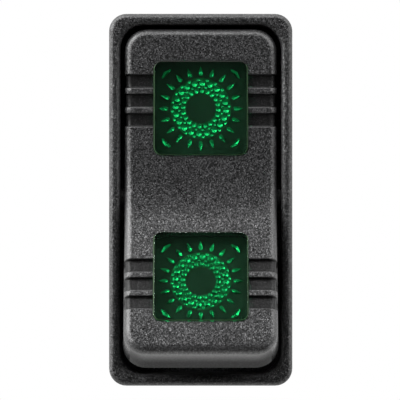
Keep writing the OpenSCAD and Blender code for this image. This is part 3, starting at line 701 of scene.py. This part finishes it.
def makeHazeGlowRing(outer, inner, y):
    # flat green ring behind the dots: painted glow of light scattered in the optic
    startFresh()
    bpy.ops.mesh.primitive_circle_add(vertices=64, radius=outer * mm, fill_type="NGON",
        location=(0, y * mm, 0), rotation=(math.pi / 2, 0, 0))
    ring = bpy.context.object
    applyPlace(ring)
    openForEdit(ring)
    bpy.ops.mesh.select_mode(type="FACE")
    bpy.ops.mesh.select_all(action="SELECT")
    bpy.ops.mesh.inset(thickness=(outer - inner) * mm)
    bpy.ops.mesh.delete(type="FACE")
    startFresh()
    return ring


def makePit(outline, at, length, width, rise, plate):
    # pit whose tip reaches back to the plate, its outline given along x and outwards along z
    startFresh()
    bpy.ops.mesh.primitive_circle_add(vertices=len(outline), radius=mm, fill_type="NGON")
    pit = bpy.context.object
    for vertex, (x, z) in zip(pit.data.vertices, outline):
        vertex.co = (x * width * mm, (plate - rise) * mm, (at + (z - 0.5) * length) * mm)
    openForEdit(pit)
    bpy.ops.mesh.select_all(action="SELECT")
    bpy.ops.mesh.normals_make_consistent(inside=False)
    bpy.ops.mesh.poke()
    movePoints(pit, lambda i, co: i == len(outline), (0, rise * mm, 0))
    startFresh()
    return pit


def turnedCopy(obj, degrees):
    double = obj.copy()
    double.data = obj.data.copy()
    bpy.context.scene.collection.objects.link(double)
    double.rotation_euler = (0, math.radians(degrees), 0)
    applyPlace(double)
    return double


def makeLens(name, end, make):
    half, corner = make["half"], make["corner"]
    rows = roundedRim(half, half, corner, draft=0, radius=make["edge"], frontY=make["front"], steps=4)
    lens = growShell(name, rows + [(half, half, corner, make["back"])])
    smoothShape(lens)
    within = half - make["play"]
    plate = growShell("plate", [(within, within, corner, make["plate"]),
        (within, within, corner, make["back"] - make["skim"])])
    hazeGlowY = make["plate"] - 2 * make["skim"]
    hazeGlow = makeHazeGlowRing(*make["hazeGlow"], hazeGlowY)
    prisms = []
    for outline, count, turn, *measures in make["pits"]:
        pit = makePit(make["outlines"][outline], *measures, hazeGlowY - make["skim"])
        prisms += [turnedCopy(pit, turn + 360 * i / count) for i in range(count)]
        bpy.data.objects.remove(pit)
    parts = [(lens, "lensClear"), (plate, "lensShade"), (hazeGlow, "lensHazeGlow")]
    for obj, finish in parts + [(prism, "prismGreen") for prism in prisms]:
        obj.data.materials.clear()
        obj.data.materials.append(lensFinishes[finish])
    for finish in ("lensRimGlow", "lensShade"):
        lens.data.materials.append(lensFinishes[finish])
    flattest, steepest = make["rimFacing"]
    for face in lens.data.polygons:
        if flattest < face.normal.y < steepest:   # the rim: a painted bright line, with painted shade along its top
            face.material_index = 2 if face.normal.z > make["shadedTopFacing"] else 1
    joinInto(lens, [plate, hazeGlow] + prisms)
    tilt = math.radians(end * capMake["halfAngle"])
    lens.matrix_world = (turnToRest() @ Matrix.Translation((0, -make["vertex"] * mm, 0))
        @ Matrix.Rotation(tilt, 4, "X") @ Matrix.Translation((0, 0, end * make["u"] * mm)))
    applyPlace(lens)
    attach(lens, "rocker")
    return lens


for place, end in (("upper", 1), ("lower", -1)):
    lens = makeLens(place + "JewelLens", end, lensMake)
    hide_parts("lens_" + place)
    print(place, "lens made:", len(lens.data.polygons), "faces")


springMake = {
    "at": 5, "from": -0.965, "to": 5.106, "coil": 1.42, "wire": 0.18, "sides": 12,
    "turns": 6, "steps": 28, "keep": 0.83,
}


def makeSpring(name, side, make):
    # coil spring between the cap's barrel and the plunger; the real one is pressed flatter as the plunger
    # slides in, this one keeps one length
    wire, turns = make["wire"], make["turns"]
    low, high = make["from"] + wire, make["to"] - wire
    startFresh()
    bpy.ops.mesh.primitive_circle_add(vertices=make["sides"], radius=wire * mm,
        location=(make["coil"] * mm, 0, 0), rotation=(math.pi / 2, 0, 0))
    spring = bpy.context.object
    spring.name = name
    applyPlace(spring)
    applyModifier(spring, "SCREW", screw_offset=(high - low) / turns * mm, iterations=turns,
        steps=make["steps"], render_steps=make["steps"])
    openForEdit(spring)
    bpy.ops.mesh.select_all(action="SELECT")
    bpy.ops.mesh.fill_holes(sides=0)
    bpy.ops.mesh.select_all(action="SELECT")
    bpy.ops.mesh.normals_make_consistent(inside=False)
    startFresh()
    spring.matrix_world = (turnToRest() @ Matrix.Translation((side * make["at"] * mm, low * mm, 0))
        @ Matrix.Rotation(-math.pi / 2, 4, "X"))
    applyPlace(spring)
    smoothShape(spring)
    spring.data.materials.append(springSteel)
    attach(spring, "rocker")
    return spring


for place, side in (("left", -1), ("right", 1)):
    spring = makeSpring(place + "PlungerSpring", side, springMake)
    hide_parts("spring_" + place)
    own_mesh(spring)
    print(place, "spring made:", len(spring.data.polygons), "faces")


floorMake = {"centre": (0, 60, -300), "radius": 260, "plain": 120, "white": 240,
    "colour": (0.8, 0.8, 0.79), "roughness": 0.7}


def makeFloor(make):
    # pale floor under the switch; far out it is plain white to the camera
    startFresh()
    bpy.ops.mesh.primitive_circle_add(vertices=96, radius=make["radius"] * mm, fill_type="NGON",
        location=[c * mm for c in make["centre"]])
    floor = bpy.context.object
    floor.name = "studioFloor"
    applyPlace(floor)
    finish, tree, shader = newFinish("paleFloor", make["colour"], make["roughness"])
    place = addNode(tree, "ShaderNodeTexCoord")
    middle = addNode(tree, "ShaderNodeMapping", Location=[-c * mm for c in make["centre"]])
    reach = addNode(tree, "ShaderNodeVectorMath", operation="LENGTH")
    tree.links.new(place.outputs["Object"], middle.inputs["Vector"])
    tree.links.new(middle.outputs["Vector"], reach.inputs[0])
    far = rangeOf(tree, reach.outputs["Value"], 0, 1, make["plain"] * mm, make["white"] * mm)
    share = addNode(tree, "ShaderNodeMath", operation="MULTIPLY")
    tree.links.new(far, share.inputs[0])
    tree.links.new(anyRay(tree, "Is Camera Ray", "Is Glossy Ray", "Is Transmission Ray"), share.inputs[1])
    white = addNode(tree, "ShaderNodeEmission", Strength=1.0)
    mix = addNode(tree, "ShaderNodeMixShader")
    tree.links.new(share.outputs[0], mix.inputs[0])
    tree.links.new(shader.outputs[0], mix.inputs[1])
    tree.links.new(white.outputs[0], mix.inputs[2])
    tree.links.new(mix.outputs[0], tree.nodes["Material Output"].inputs["Surface"])
    floor.data.materials.append(finish)


viewMake = {
    "distance": 425, "front": -8.5, "frameWidth": 53.1561, "centre": (-0.093, -0.027),
    "sensor": 36, "nearest": 10,
    # the studio's own light, from the camera's side to behind the switch
    "round": ((0.0, 0.06), (0.3, 0.12), (0.42, 0.3), (0.52, 1.3), (1.0, 1.3)),
    # soft light from the left, the right and above: way, cosines where it starts and is full, level
    "glow": (((-1, 0, 0), 0.7, 0.88, 1.7), ((1, 0, 0), 0.7, 0.88, 0.9), ((0, 0, 1), 0.75, 0.9, 0.4)),
    "lamps": {
        "overhead": {"at": (0, -225, 446), "size": (400, 130), "power": 1.9},
        "left": {"at": (-370, -197, 272), "size": (340, 420), "power": 7.0},
        "right": {"at": (360, -225, 265), "size": (280, 400), "power": 2.5},
    },
}


def addLamp(name, lamp):
    place = Vector(lamp["at"]) * mm
    startFresh()
    bpy.ops.object.light_add(type="AREA", location=place)
    light = bpy.context.object
    light.name = name + "Lamp"
    light.rotation_euler = place.to_track_quat("Z", "Y").to_euler()
    light.data.shape = "RECTANGLE"
    light.data.size, light.data.size_y = lamp["size"][0] * mm, lamp["size"][1] * mm
    light.data.energy = lamp["power"]


def setCamera(make):
    startFresh()
    x, z = make["centre"]
    spot = (x * mm, (make["front"] - make["distance"]) * mm, z * mm)
    bpy.ops.object.camera_add(location=spot, rotation=(math.pi / 2, 0, 0))
    camera = bpy.context.object
    camera.data.sensor_width = make["sensor"]
    camera.data.lens = make["sensor"] * make["distance"] / make["frameWidth"]
    camera.data.clip_start = make["nearest"] * mm
    bpy.context.scene.camera = camera


def setWorld(make):
    world = bpy.context.scene.world or bpy.data.worlds.new("studio")
    bpy.context.scene.world = world
    world.use_nodes = True
    tree = world.node_tree
    tree.nodes.clear()
    way = addNode(tree, "ShaderNodeTexCoord")
    parts = addNode(tree, "ShaderNodeSeparateXYZ")
    tree.links.new(way.outputs["Generated"], parts.inputs["Vector"])
    ramp = addNode(tree, "ShaderNodeValToRGB")
    steps = ramp.color_ramp.elements
    while len(steps) < len(make["round"]):
        steps.new(0.5)
    for step, (position, level) in zip(steps, make["round"]):
        step.position = position
        step.color = (level, level, level, 1)
    tree.links.new(rangeOf(tree, parts.outputs["Y"], 0, 1, -1, 1), ramp.inputs["Fac"])
    level = ramp.outputs["Color"]
    for side, start, end, strength in make["glow"]:
        facing = addNode(tree, "ShaderNodeVectorMath", operation="DOT_PRODUCT")
        facing.inputs[1].default_value = side
        tree.links.new(way.outputs["Generated"], facing.inputs[0])
        total = addNode(tree, "ShaderNodeMath", operation="ADD")
        tree.links.new(level, total.inputs[0])
        tree.links.new(rangeOf(tree, facing.outputs["Value"], 0, strength, start, end), total.inputs[1])
        level = total.outputs[0]
    soft = addNode(tree, "ShaderNodeBackground", Color=(1, 1, 1, 1))
    tree.links.new(level, soft.inputs["Strength"])
    white = addNode(tree, "ShaderNodeBackground", Color=(1, 1, 1, 1))
    mix = addNode(tree, "ShaderNodeMixShader")
    tree.links.new(anyRay(tree, "Is Camera Ray", "Is Transmission Ray"), mix.inputs[0])
    tree.links.new(soft.outputs[0], mix.inputs[1])
    tree.links.new(white.outputs[0], mix.inputs[2])
    out = addNode(tree, "ShaderNodeOutputWorld")
    tree.links.new(mix.outputs[0], out.inputs["Surface"])


makeFloor(floorMake)
setCamera(viewMake)
for name, lamp in viewMake["lamps"].items():
    addLamp(name, lamp)
setWorld(viewMake)
bpy.context.scene.view_settings.view_transform = "Standard"
print("camera and lamps set")
